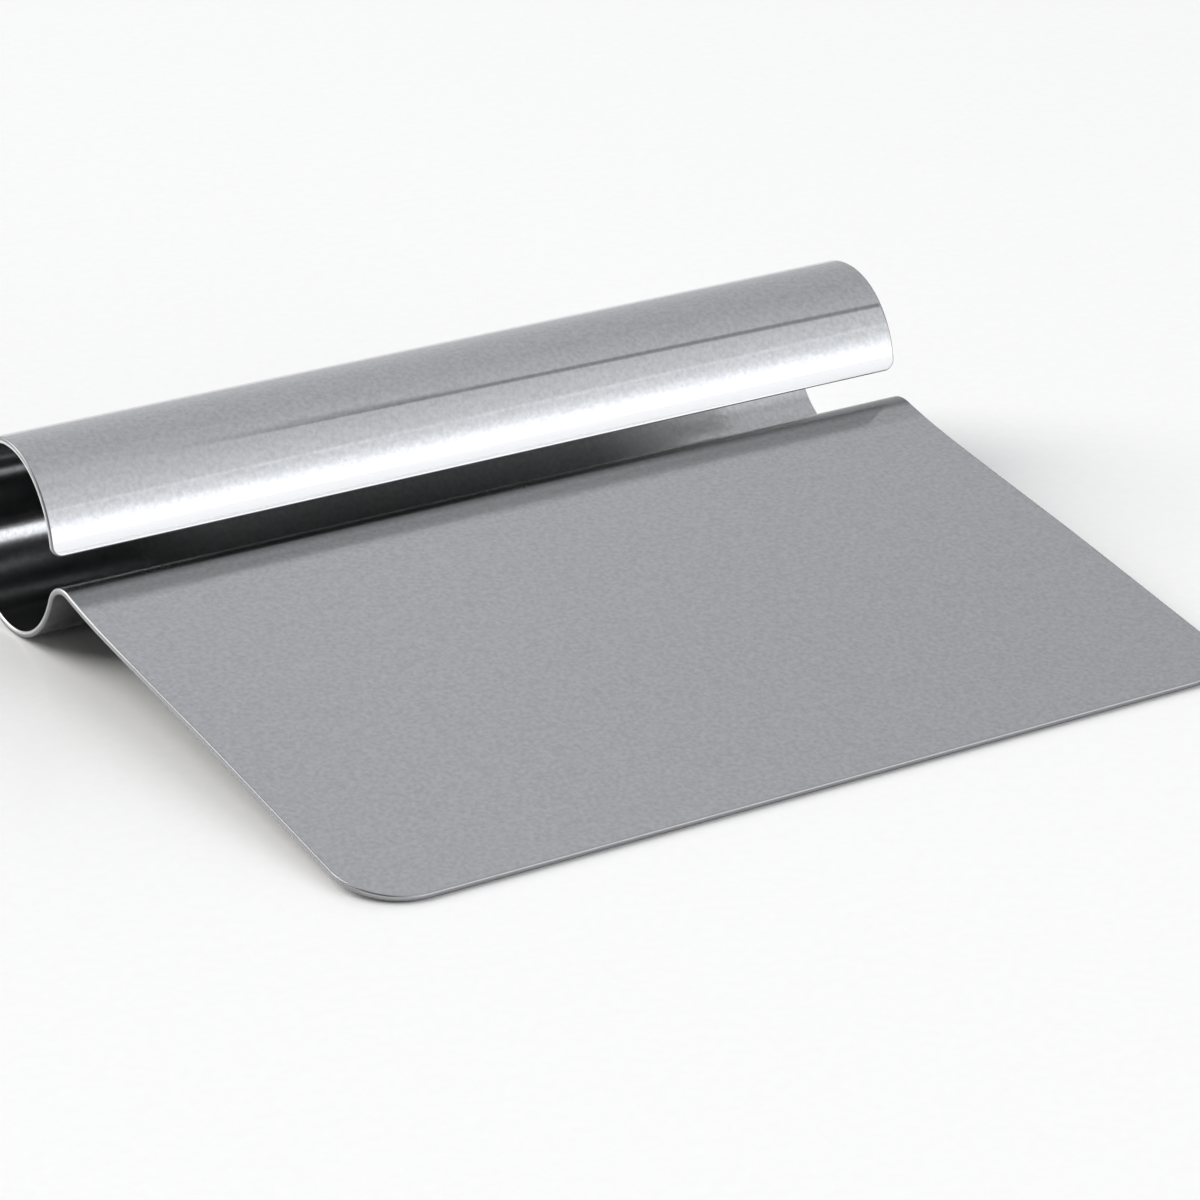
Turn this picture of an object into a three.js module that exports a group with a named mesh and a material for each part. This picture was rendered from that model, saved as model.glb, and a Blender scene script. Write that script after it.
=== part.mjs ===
// Dough scraper formed from one stainless steel sheet.
//
// The blank is a rectangle with rounded corners. Its front part stays flat as the blade. Behind the blade
// the sheet turns down over a small reverse bend, runs under the handle, up its back and over its top, and
// ends at a lip just above the bend. The handle is an open oval tube, with a narrow slot along its front.
//
// Millimetres, +Z up. The scraper lies as on a worktop, on the underside of its handle and on its front
// edge. +X runs along the handle, +Y from the blade to the handle. The origin is on the worktop, under the
// middle of the part.

import * as THREE from 'three';

// Blank
const scraperWidth = 120; // along the handle, the same for blade and handle
const sheetThickness = 0.75;
const bladeCornerRadius = 8; // the two front corners
const lipCornerRadius = 1.4; // the two corners at the rolled end

// Forming
const bladeReach = 83.2; // handle axis to front edge
const handleDepth = 22.2; // outside, along the blade
const handleHeight = 24.6; // outside, square to the blade
const bendInsideRadius = 3.4; // reverse bend between blade and handle
const lipGap = 2.6; // upper face of the blade to the end of the sheet

// Facets
const cornerSegments = 8;
const bendSegments = 8;
const handleSegments = 72;

// The line half-way through the sheet, seen from the side: first coordinate along the blade towards the
// handle, second square to the blade, with the handle's axis at zero. The flat of the blade is on its axis.
const halfSheet = sheetThickness / 2;
const ovalDepth = handleDepth / 2 - halfSheet;
const ovalHeight = handleHeight / 2 - halfSheet;
const bendRadius = bendInsideRadius + halfSheet;

function ovalPoint(angle) {
  return new THREE.Vector2(ovalDepth * Math.cos(angle), ovalHeight * Math.sin(angle));
}

function ovalNormal(angle) {
  return new THREE.Vector2(Math.cos(angle) / ovalDepth, Math.sin(angle) / ovalHeight).normalize();
}

// A circle of the bend's radius that touches the oval from outside has its centre here.
function bendCentreAt(angle) {
  return ovalPoint(angle).addScaledVector(ovalNormal(angle), bendRadius);
}

// The sheet joins the oval below its front, where the top of that circle is level with the blade.
function findJoinAngle() {
  let high = Math.PI;
  let low = 1.5 * Math.PI;
  for (let step = 0; step < 50; step += 1) {
    const middle = (high + low) / 2;
    if (bendCentreAt(middle).y + bendRadius > 0) {
      high = middle;
    } else {
      low = middle;
    }
  }
  return high;
}

const joinAngle = findJoinAngle();
const lipAngle = 3 * Math.PI - Math.asin((lipGap + halfSheet) / ovalHeight);
const bendCentre = bendCentreAt(joinAngle);
const bendEndAngle = ovalNormal(joinAngle).negate().angle();

const blade = new THREE.LineCurve(new THREE.Vector2(-bladeReach, 0), new THREE.Vector2(bendCentre.x, 0));
const bend = new THREE.EllipseCurve(
  bendCentre.x, bendCentre.y, bendRadius, bendRadius, Math.PI / 2, bendEndAngle, true
);
const handle = new THREE.EllipseCurve(0, 0, ovalDepth, ovalHeight, joinAngle, lipAngle, false);

const midLine = new THREE.CurvePath();
midLine.add(blade);
midLine.add(bend);
midLine.add(handle);

// Stations across the blank, each at a distance from the front edge and with its own half width. They are
// close together where the outline or the sheet curves.
const bladeEnd = blade.getLength();
const bendEnd = bladeEnd + bend.getLength();
const blankLength = bendEnd + handle.getLength();

function cornerStations(radius) {
  const stations = [];
  for (let step = 0; step <= cornerSegments; step += 1) {
    const turn = (step / cornerSegments) * (Math.PI / 2);
    stations.push({
      fromEnd: radius * (1 - Math.cos(turn)),
      halfWidth: scraperWidth / 2 - radius * (1 - Math.sin(turn)),
    });
  }
  return stations;
}

function evenStations(start, end, count) {
  const stations = [];
  for (let step = 1; step <= count; step += 1) {
    stations.push({ along: start + ((end - start) * step) / count, halfWidth: scraperWidth / 2 });
  }
  return stations;
}

const frontCorner = cornerStations(bladeCornerRadius).map(({ fromEnd, halfWidth }) => ({
  along: fromEnd,
  halfWidth,
}));
const lipCorner = cornerStations(lipCornerRadius).reverse().map(({ fromEnd, halfWidth }) => ({
  along: blankLength - fromEnd,
  halfWidth,
}));

const stations = [
  ...frontCorner,
  { along: bladeEnd, halfWidth: scraperWidth / 2 },
  ...evenStations(bladeEnd, bendEnd, bendSegments),
  ...evenStations(bendEnd, blankLength - lipCornerRadius, handleSegments),
  ...lipCorner.slice(1),
];

// Each station gives the four corners of the sheet there, and the sheet is lofted through all of them.
const cornerSigns = [[-1, -1], [1, -1], [1, 1], [-1, 1]];

function formSheet() {
  const positions = [];
  for (const { along, halfWidth } of stations) {
    const point = midLine.getPoint(along / blankLength);
    const tangent = midLine.getTangent(along / blankLength);
    for (const [side, face] of cornerSigns) {
      positions.push(
        side * halfWidth,
        point.x - face * halfSheet * tangent.y,
        point.y + face * halfSheet * tangent.x
      );
    }
  }

  const corners = cornerSigns.length;
  const last = (stations.length - 1) * corners;
  const triangles = [0, 1, 2, 0, 2, 3, last, last + 2, last + 1, last, last + 3, last + 2];
  for (let row = 0; row < last; row += corners) {
    for (let corner = 0; corner < corners; corner += 1) {
      const a = row + corner;
      const b = row + ((corner + 1) % corners);
      triangles.push(a, a + corners, b + corners, a, b + corners, b);
    }
  }

  const geometry = new THREE.BufferGeometry();
  geometry.setAttribute('position', new THREE.Float32BufferAttribute(positions, 3));
  geometry.setIndex(triangles);
  geometry.computeVertexNormals();
  return geometry;
}

const stainless = new THREE.MeshStandardMaterial({ color: 0xb4b6b9, metalness: 1, roughness: 0.22 });

const sheet = new THREE.Mesh(formSheet(), stainless);
sheet.name = 'scraper_sheet';

// Lying on a worktop, the sheet is turned until the lowest line of the handle is level with the lower
// corner of the front edge.
function findLayAngle() {
  const frontY = -bladeReach;
  const frontZ = -halfSheet;
  const position = sheet.geometry.getAttribute('position');
  let slope = 0;
  for (let index = 0; index < position.count; index += 1) {
    const rise = position.getZ(index) - frontZ;
    const run = position.getY(index) - frontY;
    if (run > 0) {
      slope = Math.min(slope, rise / run);
    }
  }
  return -Math.atan(slope);
}

const lying = new THREE.Group();
lying.add(sheet);
lying.rotation.x = findLayAngle();

const box = new THREE.Box3().setFromObject(lying, true);
lying.position.y = -(box.min.y + box.max.y) / 2;
lying.position.z = -box.min.z;

const doughScraper = new THREE.Group();
doughScraper.add(lying);

export default doughScraper;
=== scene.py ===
import math

import bpy
from mathutils import Euler, Matrix, Vector


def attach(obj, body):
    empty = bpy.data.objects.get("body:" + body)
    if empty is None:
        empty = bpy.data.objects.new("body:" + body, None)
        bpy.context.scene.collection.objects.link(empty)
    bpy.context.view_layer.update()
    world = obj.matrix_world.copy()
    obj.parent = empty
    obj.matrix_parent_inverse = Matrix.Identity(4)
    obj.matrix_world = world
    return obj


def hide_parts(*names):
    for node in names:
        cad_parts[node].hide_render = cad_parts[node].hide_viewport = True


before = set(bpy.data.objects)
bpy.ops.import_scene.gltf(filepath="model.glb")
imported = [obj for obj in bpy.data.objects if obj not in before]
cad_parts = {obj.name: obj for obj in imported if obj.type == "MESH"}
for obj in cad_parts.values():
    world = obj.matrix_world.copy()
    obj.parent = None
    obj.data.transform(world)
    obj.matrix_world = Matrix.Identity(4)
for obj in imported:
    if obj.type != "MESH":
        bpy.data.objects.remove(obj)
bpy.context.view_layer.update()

millimetre = 0.001


# sRGB hex to the linear colour that shaders work in
def linearColor(hexCode):
    channels = [int(hexCode[start:start + 2], 16) / 255 for start in (1, 3, 5)]
    linear = [c / 12.92 if c <= 0.04045 else ((c + 0.055) / 1.055) ** 2.4 for c in channels]
    return (*linear, 1.0)


# Adds a node with its settings. An input takes a value, a socket, or a node, whose first live output is
# linked. A colour ramp also takes its stops.
def addNode(tree, kind, inputs=None, stops=None, **settings):
    node = tree.nodes.new(kind)
    for name, value in settings.items():
        setattr(node, name, value)
    for key, value in (inputs or {}).items():
        named = [socket for socket in node.inputs if socket.enabled and socket.name == key]
        socket = named[0] if named else node.inputs[key]
        if isinstance(value, bpy.types.Node):
            value = next(output for output in value.outputs if output.enabled)
        if isinstance(value, bpy.types.NodeSocket):
            tree.links.new(value, socket)
        else:
            socket.default_value = value
    if stops:
        elements = node.color_ramp.elements
        while len(elements) < len(stops):
            elements.new(1.0)
        for element, (position, color) in zip(elements, stops):
            element.position = position
            element.color = color
    return node


def newMaterial(name):
    material = bpy.data.materials.new(name)
    material.use_nodes = True
    material.node_tree.nodes.clear()
    return material, material.node_tree


# Stainless steel, cold rolled and buffed: it mirrors its surroundings in a neutral grey, through a very fine
# mottle. Faint waves run along the rolling direction, and a few finger smudges are duller. The skin is duller
# where no wheel reaches, deep inside the handle and in the hollow under the bend, and on the bend itself;
# painted shade darkens it in those places and on a strip of the blade in front of the bend. A painted
# highlight brightens the lip.
buffedSettings = {
    "color": "#C7C7C8",
    "mottledColor": "#B5B6B6",
    "mottleSize": 0.6,           # mm, orange peel of the rolled skin, drawn coarser than life to show
    "mottleRamp": (0.3, 0.7),    # range of the noise that the two colours span
    "roughness": 0.045,
    "smudgeRoughness": 0.085,
    "smudgeSize": 16.0,          # mm
    "smudgeRamp": (0.5, 0.7),
    "insideDulling": 0.15,       # added roughness low inside the handle
    "unbuffedDulling": 0.4,      # added roughness where no wheel reaches
    "insideShadeTone": "#E4E4E4",   # painted shade, darkens the inside of the handle there
    "hollowShadeTone": "#A6A6A6",     # painted shade, darkens the hollow under the bend
    "buffedDepth": 18.0,         # mm, how far the wheel reaches in from the open ends
    "buffedFade": 16.0,          # mm
    "stretchDulling": 0.2,       # added roughness on the bend, whose skin is stretched
    "bendShadeTone": "#C0C0C0",    # painted shade, darkens the bend too
    "stripShadeTone": "#EDEDED",    # painted shade, darkens the strip of the blade in front of the bend
    "lipHighlightColor": "#DEDEDF",    # painted highlight along the lip
    "waveWidth": 3.0,            # mm, shallow waves left by the forming rolls
    "waveLength": 120.0,         # mm
    "waveHeight": 0.004,         # mm
}


def buffedStainless():
    look = buffedSettings
    material, tree = newMaterial("stainlessSteelBuffed")
    coords = addNode(tree, "ShaderNodeTexCoord").outputs["Object"]
    marks = {}
    for name in ("insideHandle", "lowInside", "underBend", "stretchedAndShadedSkin", "shadedStrip", "lipHighlight"):
        marks[name] = addNode(tree, "ShaderNodeAttribute", attribute_name=name).outputs["Fac"]

    # the wheel buffs the inside of the handle near its open ends only; deeper in it is duller, and painted
    # shade darkens it
    across = addNode(tree, "ShaderNodeSeparateXYZ", {"Vector": coords}).outputs["X"]
    fromMiddle = addNode(tree, "ShaderNodeMath", {0: across}, operation="ABSOLUTE")
    wheelEnd = (sheetSettings["width"] / 2 - look["buffedDepth"]) * millimetre
    deep = addNode(tree, "ShaderNodeMapRange", {
        "Value": fromMiddle, "From Min": wheelEnd - look["buffedFade"] * millimetre, "From Max": wheelEnd,
        "To Min": 1.0, "To Max": 0.0})
    unbuffedAndShaded = addNode(tree, "ShaderNodeMath", {0: marks["insideHandle"], 1: deep}, operation="MULTIPLY")
    unreached = addNode(tree, "ShaderNodeMath", {0: unbuffedAndShaded, 1: marks["underBend"]}, operation="ADD")

    mottle = addNode(tree, "ShaderNodeTexNoise", {
        "Vector": coords, "Scale": 1 / (look["mottleSize"] * millimetre), "Detail": 2.0, "Roughness": 0.6})
    darkEnd, lightEnd = look["mottleRamp"]
    tone = addNode(tree, "ShaderNodeValToRGB", {"Fac": mottle}, stops=[
        (darkEnd, linearColor(look["mottledColor"])), (lightEnd, linearColor(look["color"]))])
    # a painted highlight brightens the lip
    color = addNode(tree, "ShaderNodeMix", {
        "Factor": marks["lipHighlight"], "A": tone, "B": linearColor(look["lipHighlightColor"])}, data_type="RGBA")
    # painted shade: darker deep inside the handle, in the hollow under the bend, on the strip in front of the
    # bend and on the bend
    for share, shade in ((unbuffedAndShaded, "insideShadeTone"), (marks["underBend"], "hollowShadeTone"),
                         (marks["shadedStrip"], "stripShadeTone"), (marks["stretchedAndShadedSkin"], "bendShadeTone")):
        color = addNode(tree, "ShaderNodeMix", {
            "Factor": share, "A": color, "B": linearColor(look[shade])},
            data_type="RGBA", blend_type="MULTIPLY")

    smudge = addNode(tree, "ShaderNodeTexNoise", {
        "Vector": coords, "Scale": 1 / (look["smudgeSize"] * millimetre), "Detail": 5.0, "Roughness": 0.65})
    cleanEnd, smudgedEnd = look["smudgeRamp"]
    gloss = addNode(tree, "ShaderNodeMapRange", {
        "Value": smudge, "From Min": cleanEnd, "From Max": smudgedEnd,
        "To Min": look["roughness"], "To Max": look["smudgeRoughness"]})
    for share, dulling in ((marks["lowInside"], "insideDulling"), (unreached, "unbuffedDulling"),
                           (marks["stretchedAndShadedSkin"], "stretchDulling")):
        gloss = addNode(tree, "ShaderNodeMath", {
            0: share, 1: look[dulling], 2: gloss}, operation="MULTIPLY_ADD")

    rolled = addNode(tree, "ShaderNodeMapping", {
        "Vector": coords, "Scale": (look["waveWidth"] / look["waveLength"], 1.0, 1.0)})
    waves = addNode(tree, "ShaderNodeTexNoise", {
        "Vector": rolled, "Scale": 1 / (look["waveWidth"] * millimetre), "Detail": 2.0, "Roughness": 0.45})
    relief = addNode(tree, "ShaderNodeBump", {
        "Height": waves, "Strength": 1.0, "Distance": look["waveHeight"] * millimetre})

    steel = addNode(tree, "ShaderNodeBsdfPrincipled", {
        "Base Color": color, "Metallic": 1.0, "Roughness": gloss, "Normal": relief})
    addNode(tree, "ShaderNodeOutputMaterial", {"Surface": steel})
    return material


# Stainless steel, blanked and tumbled: across the thickness the punch leaves a burnished zone and a torn one.
# Tumbling softens both, so the edge gleams without mirroring. Along the blade it is scraped dull in use, and
# painted shade darkens its burnished zone, dimming the glint there. Near the lip the torn zone is lighter,
# and the front edge is ground to an even grey that is partly painted shade.
edgeSettings = {
    "burnished": "#CDCDCE",
    "shadedBurnished": "#8A8A8B",        # painted shade: the burnished zone along the blade, darker to dim its glint
    "torn": "#707071",
    "worn": "#B2B2B3",           # the torn zone along the blade
    "tornNearLip": "#A2A2A3",     # the torn zone near the lip
    "groundAndShaded": "#AEAEAF",         # the front edge, ground to one grey that is partly painted shade
    "burnishedRoughness": 0.30,
    "tornRoughness": 0.45,
    "scrapedDulling": 0.2,       # added roughness along the blade
    "scrapedRaise": 0.25,        # share of the thickness by which the burnished zone ends higher there
    "zoneBlend": 0.25,           # share of the thickness over which the two zones meet
    "zoneWander": 0.3,           # share of the thickness by which the punch lines shift them
    "lineSpacing": 0.35,         # mm, punch lines, drawn coarser than life so that they show
    "lineHeight": 0.006,         # mm
}


def blankedEdge():
    look = edgeSettings
    material, tree = newMaterial("stainlessSteelBlankedEdge")
    coords = addNode(tree, "ShaderNodeTexCoord").outputs["Object"]
    marks = {}
    for name in ("throughSheet", "frontEdge", "scrapedAndShadedEdge", "nearLip"):
        marks[name] = addNode(tree, "ShaderNodeAttribute", attribute_name=name).outputs["Fac"]

    punch = addNode(tree, "ShaderNodeTexNoise", {
        "Vector": coords, "Scale": 1 / (look["lineSpacing"] * millimetre), "Detail": 2.0, "Roughness": 0.6})
    raised = addNode(tree, "ShaderNodeMath", {
        0: marks["scrapedAndShadedEdge"], 1: -look["scrapedRaise"], 2: marks["throughSheet"]},
        operation="MULTIPLY_ADD")
    wander = addNode(tree, "ShaderNodeMath", {
        0: punch, 1: look["zoneWander"], 2: raised}, operation="MULTIPLY_ADD")
    zone = addNode(tree, "ShaderNodeMapRange", {
        "Value": wander, "From Min": 0.0, "From Max": look["zoneBlend"]}, interpolation_type="SMOOTHSTEP")

    torn = addNode(tree, "ShaderNodeMix", {
        "Factor": marks["nearLip"], "A": linearColor(look["torn"]), "B": linearColor(look["tornNearLip"])},
        data_type="RGBA")
    lower = addNode(tree, "ShaderNodeMix", {
        "Factor": marks["scrapedAndShadedEdge"], "A": torn, "B": linearColor(look["worn"])}, data_type="RGBA")
    # painted shade darkens the burnished zone along the blade
    upper = addNode(tree, "ShaderNodeMix", {
        "Factor": marks["scrapedAndShadedEdge"],
        "A": linearColor(look["burnished"]), "B": linearColor(look["shadedBurnished"])}, data_type="RGBA")
    cut = addNode(tree, "ShaderNodeMix", {"Factor": zone, "A": lower, "B": upper}, data_type="RGBA")
    # the front edge in one grey, partly painted shade darker than the burnished zone
    tone = addNode(tree, "ShaderNodeMix", {
        "Factor": marks["frontEdge"], "A": cut, "B": linearColor(look["groundAndShaded"])}, data_type="RGBA")

    polish = addNode(tree, "ShaderNodeMapRange", {
        "Value": zone, "To Min": look["tornRoughness"], "To Max": look["burnishedRoughness"]})
    gloss = addNode(tree, "ShaderNodeMath", {
        0: marks["scrapedAndShadedEdge"], 1: look["scrapedDulling"], 2: polish}, operation="MULTIPLY_ADD")
    relief = addNode(tree, "ShaderNodeBump", {
        "Height": punch, "Strength": 1.0, "Distance": look["lineHeight"] * millimetre})
    steel = addNode(tree, "ShaderNodeBsdfPrincipled", {
        "Base Color": tone, "Metallic": 1.0, "Roughness": gloss, "Normal": relief})
    addNode(tree, "ShaderNodeOutputMaterial", {"Surface": steel})
    return material


# The scraper is one formed sheet. Lengths are in mm, as cut and formed.
sheetSettings = {
    "width": 120.0,              # along the handle
    "thickness": 0.75,
    "bladeCorner": 8.0,          # radius of the two front corners
    "lipCorner": 1.4,            # radius of the two corners at the rolled end
    "bladeReach": 83.2,          # handle axis to front edge
    "handleDepth": 22.2,         # outside, along the blade
    "handleHeight": 24.6,        # outside, square to the blade
    "bendInside": 3.4,           # inside radius of the reverse bend
    "lipGap": 2.6,               # upper face of the blade to the end of the sheet
    "dishDepth": 0.4,            # shallow dish that the rolls leave in the blade, just in front of the bend
    "dishRise": 9.0,             # from its deepest line up to the bend
    "dishReach": 40.0,           # from its front to the bend
    "crestRounding": 0.4,        # from the end of the rise to the bend
    "arris": 0.2,                # rounding that tumbling leaves on every cut corner
    "arrisSupport": 0.15,        # flat ring inside the rounding, keeps the faces true
    # where the marks of making and use, and the painted shade and highlight, lie on the blank, each with the
    # length over which it fades
    "scrapedStart": 23.0,        # the scraped side edge ends this far in front of the end of the bend
    "scrapedFade": 45.0,
    "lighterTornReach": 8.0,         # the torn zone of the cut edge is lighter this far from the lip
    "lighterTornFade": 16.0,
    "lipHighlight": 1.61,           # width of the painted highlight along the lip
    "lipHighlightFade": 1.4,
    "lowInside": 20.8,           # length of sheet past the bend that lies low inside the handle
    "lowFade": 13.0,
    "lowLeast": 0.2,             # share of that mark in the rest of the handle
    "hollowFront": 10.0,         # the hollow reaches this far in front of the bend
    "hollowBack": 3.0,           # and this far past it
    "hollowFade": 5.0,
    "shadedStripWidth": 3.0,         # width of the painted shade strip in front of the bend
    "shadedStripFade": 1.0,
    "stretchFade": 1.0,          # past either end of the bend
    # steps along each stretch
    "cornerSteps": 24,
    "dishSteps": 80,
    "crestSteps": 5,
    "bendSteps": 28,
    "handleSteps": 170,
    "arrisSteps": 4,
    "rollSteps": 4000,           # along the oval, to measure its length
}


# Where the mid-line of the sheet runs: flat blade, reverse bend, oval handle
def formSheet(size):
    half = size["thickness"] / 2
    ovalDepth = size["handleDepth"] / 2 - half
    ovalHeight = size["handleHeight"] / 2 - half
    bendRadius = size["bendInside"] + half

    def ovalPoint(angle):
        return Vector((ovalDepth * math.cos(angle), ovalHeight * math.sin(angle)))

    def ovalNormal(angle):
        return Vector((math.cos(angle) / ovalDepth, math.sin(angle) / ovalHeight)).normalized()

    def bendCentre(angle):
        return ovalPoint(angle) + bendRadius * ovalNormal(angle)

    # the bend touches the oval from outside, where the bend's top is level with the blade
    high, low = math.pi, 1.5 * math.pi
    for _ in range(50):
        middle = (high + low) / 2
        if bendCentre(middle).y + bendRadius > 0:
            high = middle
        else:
            low = middle
    joinAngle = high
    lipAngle = 3 * math.pi - math.asin((size["lipGap"] + half) / ovalHeight)
    towardsOval = -ovalNormal(joinAngle)
    bendTurn = math.pi / 2 - math.atan2(towardsOval.y, towardsOval.x)

    sweep = lipAngle - joinAngle
    angles = [joinAngle + sweep * step / size["rollSteps"] for step in range(size["rollSteps"] + 1)]
    rolled = [ovalPoint(angle) for angle in angles]
    rollLength = sum((after - before).length for before, after in zip(rolled, rolled[1:]))
    bladeFlat = bendCentre(joinAngle).x + size["bladeReach"]
    bendEnd = bladeFlat + bendRadius * bendTurn

    # lying on a worktop, on the front edge and the underside of the handle
    front = Vector((-size["bladeReach"], -half))
    outside = [point + half * ovalNormal(angle) for point, angle in zip(rolled, angles)]
    layAngle = -math.atan(min((point.y - front.y) / (point.x - front.x) for point in outside))
    turn = Matrix.Rotation(layAngle, 2)
    lying = [turn @ point for point in outside + [front, front + Vector((0, size["thickness"]))]]
    middleY = (min(point.x for point in lying) + max(point.x for point in lying)) / 2
    lowest = min(point.y for point in lying)

    return {
        "Blade Reach": size["bladeReach"], "Blade Flat": bladeFlat, "Dish Depth": size["dishDepth"],
        "Dish Front": bladeFlat - size["dishReach"], "Dish Bottom": bladeFlat - size["dishRise"],
        "Crest Front": bladeFlat - size["crestRounding"],
        "Crest Share": size["crestRounding"] / size["dishRise"],
        "Bend Radius": bendRadius, "Bend Centre": bendCentre(joinAngle).x, "Bend End": bendEnd,
        "Oval Depth": ovalDepth, "Oval Height": ovalHeight,
        "Join Angle": joinAngle, "Roll Sweep": sweep,
        "Lay Angle": layAngle, "Lay Forward": -middleY, "Lay Up": -lowest,
    }, bendEnd + rollLength


# What the materials read at a point of the blank: its place through the sheet, and its share of each mark
def markBlank(size, form, blankLength, along, height):
    # 1 up to the end of a mark, then falling to 0
    def fade(past, width):
        return max(0.0, min(1.0, 1 - past / width))

    isUpper = float(height > 0)   # the upper face turns to the inside of the handle
    isLower = float(height < 0)
    pastBend = along - form["Bend End"]
    toLip = blankLength - along
    toCrest = form["Crest Front"] - along
    beyondHollow = max(form["Blade Flat"] - size["hollowFront"] - along, pastBend - size["hollowBack"])
    front = fade(along, size["bladeCorner"])
    inside = isUpper * (pastBend > 0)
    low = max(size["lowLeast"], fade(pastBend - size["lowInside"], size["lowFade"]))
    onBlade = isUpper * (along < form["Blade Flat"])
    return {
        "throughSheet": height / size["thickness"],
        "frontEdge": front,
        "scrapedAndShadedEdge": fade(pastBend + size["scrapedStart"], size["scrapedFade"]) * (1 - front),
        "nearLip": fade(toLip - size["lighterTornReach"], size["lighterTornFade"]),
        "insideHandle": inside,
        "lowInside": inside * low,
        "underBend": isLower * fade(beyondHollow, size["hollowFade"]),
        "lipHighlight": fade(toLip - size["lipHighlight"], size["lipHighlightFade"]),
        "shadedStrip": onBlade * fade(toCrest - size["shadedStripWidth"], size["shadedStripFade"]),
        "stretchedAndShadedSkin": isUpper * fade(max(toCrest, pastBend), size["stretchFade"]),
    }


# The flat blank with rounded corners and tumbled edges: x across, y from the front edge, z through the sheet
def cutBlank(size, form, blankLength):
    halfWidth = size["width"] / 2
    half = size["thickness"] / 2

    # the right side from front to lip, each station giving its point for a distance inside the cut
    def cornerPoint(radius, turn, inset, fromFront):
        across = halfWidth - radius + (radius - inset) * math.sin(turn)
        along = radius - (radius - inset) * math.cos(turn)
        return across, along if fromFront else blankLength - along

    def evenStops(start, end, count):
        return [start + (end - start) * step / count for step in range(count)]

    stations = []
    turns = [step / size["cornerSteps"] * math.pi / 2 for step in range(size["cornerSteps"] + 1)]
    for turn in turns:
        stations.append(lambda inset, turn=turn: cornerPoint(size["bladeCorner"], turn, inset, True))
    sideStops = evenStops(form["Dish Front"], form["Crest Front"], size["dishSteps"])
    sideStops += evenStops(form["Crest Front"], form["Blade Flat"], size["crestSteps"])
    sideStops += evenStops(form["Blade Flat"], form["Bend End"], size["bendSteps"])
    sideStops += evenStops(form["Bend End"], blankLength - size["lipCorner"], size["handleSteps"])
    for along in sideStops:
        stations.append(lambda inset, along=along: (halfWidth - inset, along))
    for turn in reversed(turns):
        stations.append(lambda inset, turn=turn: cornerPoint(size["lipCorner"], turn, inset, False))

    # section of the rim, from the upper face round to the lower one, as (inset, height)
    arris = size["arris"]
    rim = [(arris + size["arrisSupport"], half)]
    for step in range(size["arrisSteps"] + 1):
        turn = step / size["arrisSteps"] * math.pi / 2
        rim.append((arris * (1 - math.sin(turn)), half - arris * (1 - math.cos(turn))))
    rim += [(inset, -height) for inset, height in reversed(rim)]

    vertices = []
    for side, order in ((1, stations), (-1, reversed(stations))):
        for station in order:
            for inset, height in rim:
                across, along = station(inset)
                vertices.append((side * across, along, height))

    faces = []
    cutFaces = []
    ring = len(rim)
    loop = 2 * len(stations)
    for row in range(loop):
        after = (row + 1) % loop
        for column in range(ring - 1):
            faces.append((row * ring + column, row * ring + column + 1,
                          after * ring + column + 1, after * ring + column))
            cutFaces.append(0 < column < ring - 2)
    for row in range(len(stations) - 1):
        right, left = row, loop - 1 - row
        faces.append((right * ring, (right + 1) * ring, (left - 1) * ring, left * ring))
        faces.append((left * ring + ring - 1, left * ring - 1,
                      (right + 2) * ring - 1, right * ring + ring - 1))
        cutFaces += [False, False]

    mesh = bpy.data.meshes.new("rolledSheet")
    mesh.from_pydata([Vector(v) * millimetre for v in vertices], [], faces)
    mesh.attributes.new("cutEdge", "BOOLEAN", "FACE").data.foreach_set("value", cutFaces)
    marked = [markBlank(size, form, blankLength, along, height) for _, along, height in vertices]
    for name in marked[0]:
        shares = [marks[name] for marks in marked]
        mesh.attributes.new(name, "FLOAT", "POINT").data.foreach_set("value", shares)
    mesh.update()
    return mesh


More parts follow.
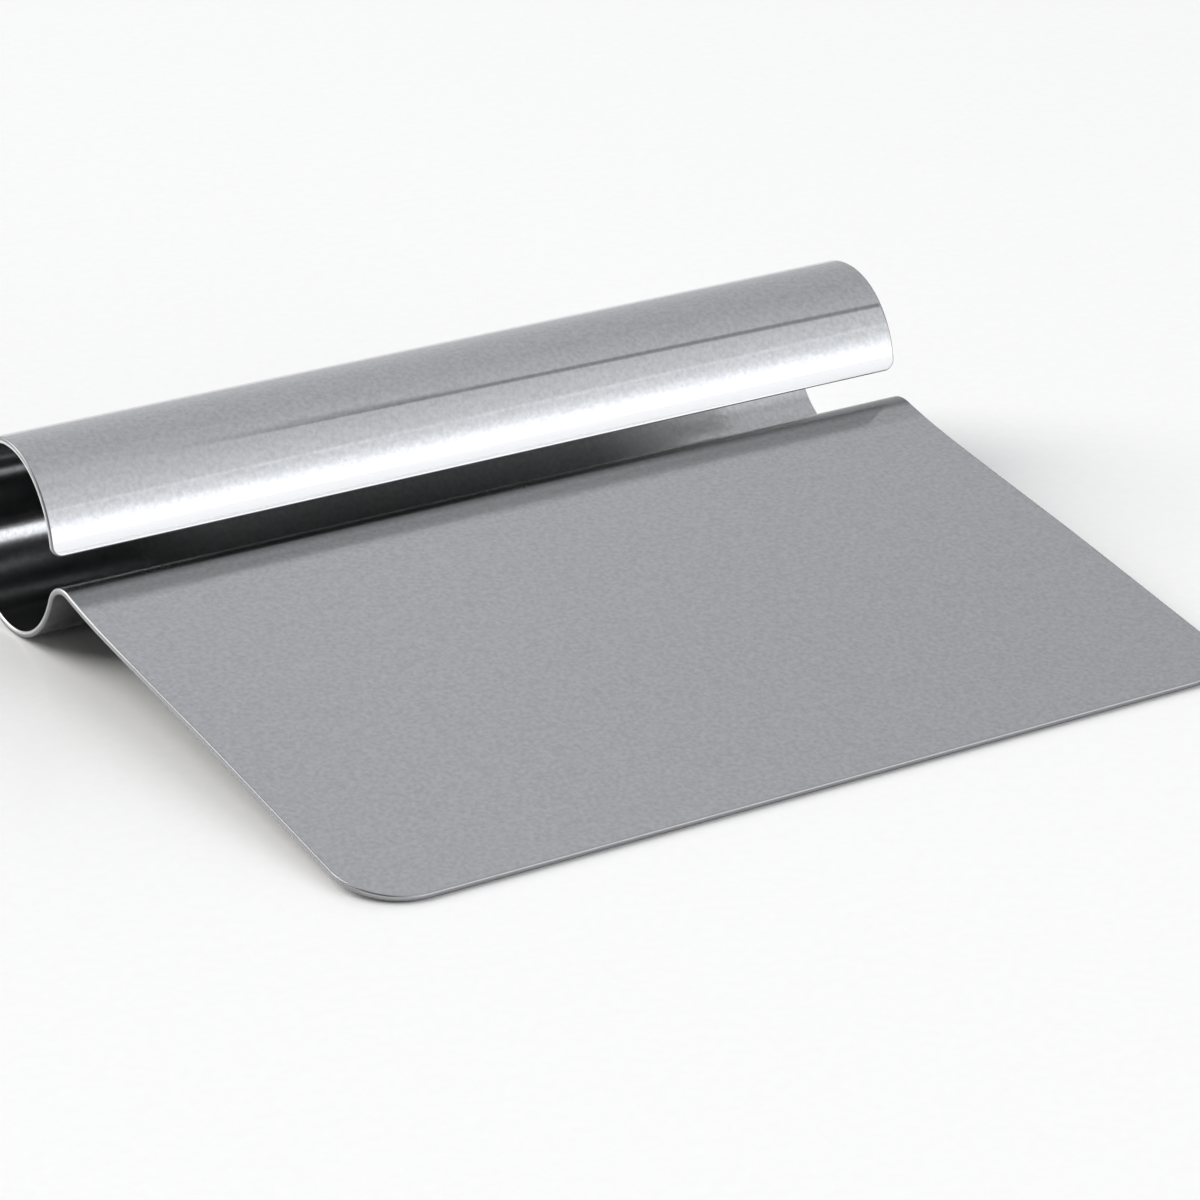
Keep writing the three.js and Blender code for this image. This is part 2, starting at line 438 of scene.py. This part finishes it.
# Forms the blank: nearly flat as the blade, round the reverse bend, then rolled along the oval
def formingTree(size, form, faceSteel, edgeSteel):
    tree = bpy.data.node_groups.new("rollForming", "GeometryNodeTree")
    tree.interface.new_socket("Geometry", in_out="INPUT", socket_type="NodeSocketGeometry")
    for name in form:
        tree.interface.new_socket(name, in_out="INPUT", socket_type="NodeSocketFloat")
    tree.interface.new_socket("Geometry", in_out="OUTPUT", socket_type="NodeSocketGeometry")
    given = addNode(tree, "NodeGroupInput").outputs
    place = addNode(tree, "GeometryNodeInputPosition")
    blank = addNode(tree, "ShaderNodeSeparateXYZ", {"Vector": place}).outputs
    across, along, through = blank["X"], blank["Y"], blank["Z"]

    # blade: from its reach towards the handle, lower in the dish
    bladeY = addNode(tree, "ShaderNodeMath", {0: along, 1: given["Blade Reach"]}, operation="SUBTRACT")
    dishFall = addNode(tree, "ShaderNodeMapRange", {
        "Value": along, "From Min": given["Dish Front"], "From Max": given["Dish Bottom"],
        "To Min": 1.0, "To Max": 0.0}, interpolation_type="SMOOTHSTEP")
    climb = addNode(tree, "ShaderNodeMapRange", {
        "Value": along, "From Min": given["Dish Bottom"], "From Max": given["Crest Front"]})
    climbed = addNode(tree, "ShaderNodeMath", {0: climb, 1: climb}, operation="MULTIPLY")
    toCrest = addNode(tree, "ShaderNodeMapRange", {
        "Value": along, "From Min": given["Crest Front"], "From Max": given["Blade Flat"],
        "To Min": 1.0, "To Max": 0.0})
    drop = addNode(tree, "ShaderNodeMath", {0: toCrest, 1: toCrest}, operation="MULTIPLY")
    rounded = addNode(tree, "ShaderNodeMath", {0: 1.0, 1: drop}, operation="SUBTRACT")
    dishRise = addNode(tree, "ShaderNodeMix", {"Factor": given["Crest Share"], "A": climbed, "B": rounded})
    dishShare = addNode(tree, "ShaderNodeMath", {0: dishFall, 1: dishRise}, operation="MAXIMUM")
    dishLevel = addNode(tree, "ShaderNodeMath", {0: dishShare, 1: 1.0}, operation="SUBTRACT")
    bladeZ = addNode(tree, "ShaderNodeMath", {
        0: dishLevel, 1: given["Dish Depth"], 2: through}, operation="MULTIPLY_ADD")
    blade = addNode(tree, "ShaderNodeCombineXYZ", {"X": across, "Y": bladeY, "Z": bladeZ})

    # bend: round a centre that lies its radius under the blade
    bentLength = addNode(tree, "ShaderNodeMath", {0: along, 1: given["Blade Flat"]}, operation="SUBTRACT")
    turn = addNode(tree, "ShaderNodeMath", {0: bentLength, 1: given["Bend Radius"]}, operation="DIVIDE")
    reach = addNode(tree, "ShaderNodeMath", {0: given["Bend Radius"], 1: through}, operation="ADD")
    sine = addNode(tree, "ShaderNodeMath", {0: turn}, operation="SINE")
    cosine = addNode(tree, "ShaderNodeMath", {0: turn}, operation="COSINE")
    bendY = addNode(tree, "ShaderNodeMath", {
        0: reach, 1: sine, 2: given["Bend Centre"]}, operation="MULTIPLY_ADD")
    bendLift = addNode(tree, "ShaderNodeMath", {0: reach, 1: cosine}, operation="MULTIPLY")
    bendZ = addNode(tree, "ShaderNodeMath", {0: bendLift, 1: given["Bend Radius"]}, operation="SUBTRACT")
    bend = addNode(tree, "ShaderNodeCombineXYZ", {"X": across, "Y": bendY, "Z": bendZ})

    # handle: along the oval by the length of sheet that is left
    arc = addNode(tree, "GeometryNodeCurveArc", {
        "Resolution": size["rollSteps"], "Radius": 1.0, "Start Angle": given["Join Angle"],
        "Sweep Angle": given["Roll Sweep"]}, mode="RADIUS")
    ovalSize = addNode(tree, "ShaderNodeCombineXYZ", {
        "X": given["Oval Depth"], "Y": given["Oval Height"], "Z": 1.0})
    oval = addNode(tree, "GeometryNodeTransform", {"Geometry": arc, "Scale": ovalSize})
    rolledLength = addNode(tree, "ShaderNodeMath", {0: along, 1: given["Bend End"]}, operation="SUBTRACT")
    onOval = addNode(tree, "GeometryNodeSampleCurve", {"Curves": oval, "Length": rolledLength},
                     mode="LENGTH", use_all_curves=True).outputs
    spot = addNode(tree, "ShaderNodeSeparateXYZ", {"Vector": onOval["Position"]}).outputs
    heading = addNode(tree, "ShaderNodeSeparateXYZ", {"Vector": onOval["Tangent"]}).outputs
    inward = addNode(tree, "ShaderNodeMath", {0: through, 1: heading["Y"]}, operation="MULTIPLY")
    handleY = addNode(tree, "ShaderNodeMath", {0: spot["X"], 1: inward}, operation="SUBTRACT")
    handleZ = addNode(tree, "ShaderNodeMath", {
        0: through, 1: heading["X"], 2: spot["Y"]}, operation="MULTIPLY_ADD")
    handle = addNode(tree, "ShaderNodeCombineXYZ", {"X": across, "Y": handleY, "Z": handleZ})

    isBent = addNode(tree, "ShaderNodeMath", {0: along, 1: given["Blade Flat"]}, operation="GREATER_THAN")
    isRolled = addNode(tree, "ShaderNodeMath", {0: along, 1: given["Bend End"]}, operation="GREATER_THAN")
    bladeOrBend = addNode(tree, "GeometryNodeSwitch", {
        "Switch": isBent, "False": blade, "True": bend}, input_type="VECTOR")
    formed = addNode(tree, "GeometryNodeSwitch", {
        "Switch": isRolled, "False": bladeOrBend, "True": handle}, input_type="VECTOR")
    placed = addNode(tree, "GeometryNodeSetPosition", {"Geometry": given["Geometry"], "Position": formed})

    layTurn = addNode(tree, "ShaderNodeCombineXYZ", {"X": given["Lay Angle"]})
    layShift = addNode(tree, "ShaderNodeCombineXYZ", {"Y": given["Lay Forward"], "Z": given["Lay Up"]})
    lying = addNode(tree, "GeometryNodeTransform", {
        "Geometry": placed, "Translation": layShift, "Rotation": layTurn})
    smooth = addNode(tree, "GeometryNodeSetShadeSmooth", {"Geometry": lying})
    real = addNode(tree, "GeometryNodeRealizeInstances", {"Geometry": smooth})
    cutEdge = addNode(tree, "GeometryNodeInputNamedAttribute", {"Name": "cutEdge"}, data_type="BOOLEAN")
    faced = addNode(tree, "GeometryNodeSetMaterial", {"Geometry": real, "Material": faceSteel})
    edged = addNode(tree, "GeometryNodeSetMaterial", {
        "Geometry": faced, "Selection": cutEdge, "Material": edgeSteel})
    addNode(tree, "NodeGroupOutput", {"Geometry": edged})
    return tree


def rollSheet():
    size = sheetSettings
    form, blankLength = formSheet(size)
    sheet = bpy.data.objects.new("rolledSheet", cutBlank(size, form, blankLength))
    bpy.context.collection.objects.link(sheet)

    forming = sheet.modifiers.new("rollForming", "NODES")
    forming.node_group = formingTree(size, form, buffedStainless(), blankedEdge())
    for socket in forming.node_group.interface.items_tree:
        if socket.in_out == "INPUT" and socket.name in form:
            isLength = socket.name not in ("Join Angle", "Roll Sweep", "Lay Angle", "Crest Share")
            forming[socket.identifier] = form[socket.name] * (millimetre if isLength else 1.0)

    depsgraph = bpy.context.evaluated_depsgraph_get()
    formed = bpy.data.meshes.new_from_object(sheet.evaluated_get(depsgraph))
    sheet.modifiers.clear()
    sheet.data = formed
    return sheet


sheet = rollSheet()
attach(sheet, "root")
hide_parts("scraper_sheet")
print("sheet formed:", len(sheet.data.polygons), "faces")


# White laminate with a satin press finish: an even white that only shines at a grazing angle, with a hardly
# visible fibre grain
floorSettings = {
    "size": 6.0,                 # m
    "color": "#FDFCFA",
    "grainColor": "#FBFAF8",
    "grainSize": 1.5,            # mm, drawn coarser than life
    "grainRamp": (0.35, 0.65),   # range of the noise that the two colours span
    "roughness": 0.3,
}


def layFloor():
    look = floorSettings
    reach = look["size"] / 2
    mesh = bpy.data.meshes.new("worktop")
    mesh.from_pydata([(-reach, -reach, 0), (reach, -reach, 0), (reach, reach, 0), (-reach, reach, 0)],
                     [], [(0, 1, 2, 3)])
    material, tree = newMaterial("laminateSatinWhite")
    coords = addNode(tree, "ShaderNodeTexCoord").outputs["Object"]
    fibre = addNode(tree, "ShaderNodeTexNoise", {
        "Vector": coords, "Scale": 1 / (look["grainSize"] * millimetre), "Detail": 2.0})
    fibreEnd, plainEnd = look["grainRamp"]
    tone = addNode(tree, "ShaderNodeValToRGB", {"Fac": fibre}, stops=[
        (fibreEnd, linearColor(look["grainColor"])), (plainEnd, linearColor(look["color"]))])
    board = addNode(tree, "ShaderNodeBsdfPrincipled", {"Base Color": tone, "Roughness": look["roughness"]})
    addNode(tree, "ShaderNodeOutputMaterial", {"Surface": board})
    mesh.materials.append(material)
    floor = bpy.data.objects.new("worktop", mesh)
    bpy.context.collection.objects.link(floor)


# A light tent: grey cloth behind and to the right, lighter cloth in front and overhead, a dark seam where the
# two meet, and little light from the left. A soft key from the back left adds to it. Ranges along X, Y and Z
# are those of a direction of length 1.
studioSettings = {
    # (share from front to back, colour) of the grey cloth
    "greyCloth": [(0.33, "#E9EBEF"), (0.5, "#DCDEE2"), (0.62, "#D5D7DA"), (0.83, "#D8DADE"),
                  (0.92, "#DEE0E4")],
    "rightRange": (0.48, 0.6),   # along X, over which the grey cloth dims to the right
    "rightDimming": 0.9,
    "lightColor": "#F5F7FB",
    # (sine of the elevation, radiance) of the light cloth
    "lightCloth": [(0.0, 2.15), (0.13, 2.2), (0.19, 2.2), (0.24, 2.0), (0.28, 1.77), (0.34, 1.52),
                   (0.41, 1.33), (0.47, 1.27), (0.5, 1.37), (0.54, 1.11), (0.67, 1.04), (0.78, 0.94),
                   (1.0, 0.83)],
    "leftRange": (-0.35, 0.15),  # along X, over which the light cloth dims to the left
    "leftDimming": 0.07,
    "ceilingSeam": (0.8514, 0.3862, -0.3551),   # normals of the two planes that bound the grey cloth
    "wallSeam": (0.636, 0.7635, -0.1117),
    "seamWidth": 0.036,
    "seamCore": 0.4,             # share of that width with the full tone
    "seamTone": 0.5,
    "seamRange": (0.83, 0.885),  # along Z, over which the seam fades overhead
    "fadedTone": 0.95,
    "keyAzimuth": -40.0,         # degrees from straight behind, towards the right
    "keyElevation": 35.0,
    "keySpread": 50.0,
    "keyStrength": 2.95,         # W per square metre
}


def hangTent():
    look = studioSettings
    world = bpy.data.worlds.new("lightTent")
    bpy.context.scene.world = world
    world.use_nodes = True
    tree = world.node_tree
    tree.nodes.clear()
    toward = addNode(tree, "ShaderNodeTexCoord").outputs["Generated"]
    parts = addNode(tree, "ShaderNodeSeparateXYZ", {"Vector": toward}).outputs

    brightest = max(radiance for _, radiance in look["lightCloth"])
    shares = [(sine, radiance / brightest) for sine, radiance in look["lightCloth"]]
    red, green, blue, _ = linearColor(look["lightColor"])
    light = addNode(tree, "ShaderNodeValToRGB", {"Fac": parts["Z"]}, stops=[
        (sine, (share * red, share * green, share * blue, 1.0)) for sine, share in shares])
    dimEnd, brightEnd = look["leftRange"]
    fromLeft = addNode(tree, "ShaderNodeMapRange", {
        "Value": parts["X"], "From Min": dimEnd, "From Max": brightEnd,
        "To Min": look["leftDimming"] * brightest, "To Max": brightest})
    lightCloth = addNode(tree, "ShaderNodeVectorMath", {0: light, "Scale": fromLeft}, operation="SCALE")

    backward = addNode(tree, "ShaderNodeMapRange", {"Value": parts["Y"], "From Min": -1.0, "From Max": 1.0})
    grey = addNode(tree, "ShaderNodeValToRGB", {"Fac": backward}, stops=[
        (share, linearColor(color)) for share, color in look["greyCloth"]])
    fullEnd, dimmedEnd = look["rightRange"]
    toRight = addNode(tree, "ShaderNodeMapRange", {
        "Value": parts["X"], "From Min": fullEnd, "From Max": dimmedEnd,
        "To Min": 1.0, "To Max": look["rightDimming"]})
    greyCloth = addNode(tree, "ShaderNodeVectorMath", {0: grey, "Scale": toRight}, operation="SCALE")

    # distance inside the two planes tells which cloth it is, and how near the seam
    ceiling = addNode(tree, "ShaderNodeVectorMath", {
        0: toward, 1: look["ceilingSeam"]}, operation="DOT_PRODUCT")
    wall = addNode(tree, "ShaderNodeVectorMath", {0: toward, 1: look["wallSeam"]}, operation="DOT_PRODUCT")
    inside = addNode(tree, "ShaderNodeMath", {0: ceiling, 1: wall}, operation="MINIMUM")
    isGrey = addNode(tree, "ShaderNodeMapRange", {
        "Value": inside, "From Min": -look["seamWidth"], "From Max": look["seamWidth"]})
    cloth = addNode(tree, "ShaderNodeMix", {
        "Factor": isGrey, "A": lightCloth, "B": greyCloth}, data_type="RGBA")
    offSeam = addNode(tree, "ShaderNodeMath", {0: inside}, operation="ABSOLUTE")
    fadeStart, fadeEnd = look["seamRange"]
    fading = addNode(tree, "ShaderNodeMapRange", {
        "Value": parts["Z"], "From Min": fadeStart, "From Max": fadeEnd,
        "To Min": look["seamTone"], "To Max": look["fadedTone"]})
    seam = addNode(tree, "ShaderNodeMapRange", {
        "Value": offSeam, "From Min": look["seamWidth"] * look["seamCore"], "From Max": look["seamWidth"],
        "To Min": fading, "To Max": 1.0})
    background = addNode(tree, "ShaderNodeBackground", {"Color": cloth, "Strength": seam})
    addNode(tree, "ShaderNodeOutputWorld", {"Surface": background})


def setKey():
    look = studioSettings
    key = bpy.data.lights.new("keyLight", "SUN")
    key.energy = look["keyStrength"]
    key.angle = math.radians(look["keySpread"])
    keyLight = bpy.data.objects.new("keyLight", key)
    azimuth = math.radians(look["keyAzimuth"])
    elevation = math.radians(look["keyElevation"])
    fromKey = Vector((-math.sin(azimuth) * math.cos(elevation), -math.cos(azimuth) * math.cos(elevation),
                      -math.sin(elevation)))
    keyLight.rotation_euler = fromKey.to_track_quat("-Z", "Y").to_euler()
    bpy.context.collection.objects.link(keyLight)


layFloor()
hangTent()
setKey()
print("worktop and light tent set")


# Camera fitted to the straight edges of the blade and to the ends of the handle
cameraSettings = {
    "location": (-0.295022, -0.442378, 0.245510),   # m
    "target": (0.005373, 0.008817, 0.0),
    "roll": 1.537,               # degrees
    "lens": 147.94,              # mm
    "sensor": 36.0,              # mm
}


def placeCamera():
    look = cameraSettings
    lens = bpy.data.cameras.new("camera")
    lens.lens = look["lens"]
    lens.sensor_width = look["sensor"]
    camera = bpy.data.objects.new("camera", lens)
    aim = Vector(look["target"]) - Vector(look["location"])
    turn = aim.to_track_quat("-Z", "Y") @ Euler((0, 0, math.radians(look["roll"]))).to_quaternion()
    camera.rotation_euler = turn.to_euler()
    camera.location = look["location"]
    bpy.context.collection.objects.link(camera)
    bpy.context.scene.camera = camera


placeCamera()
scene = bpy.context.scene
scene.view_settings.view_transform = "Standard"
scene.cycles.glossy_bounces = 12   # light is mirrored many times inside the rolled handle
print("camera placed")
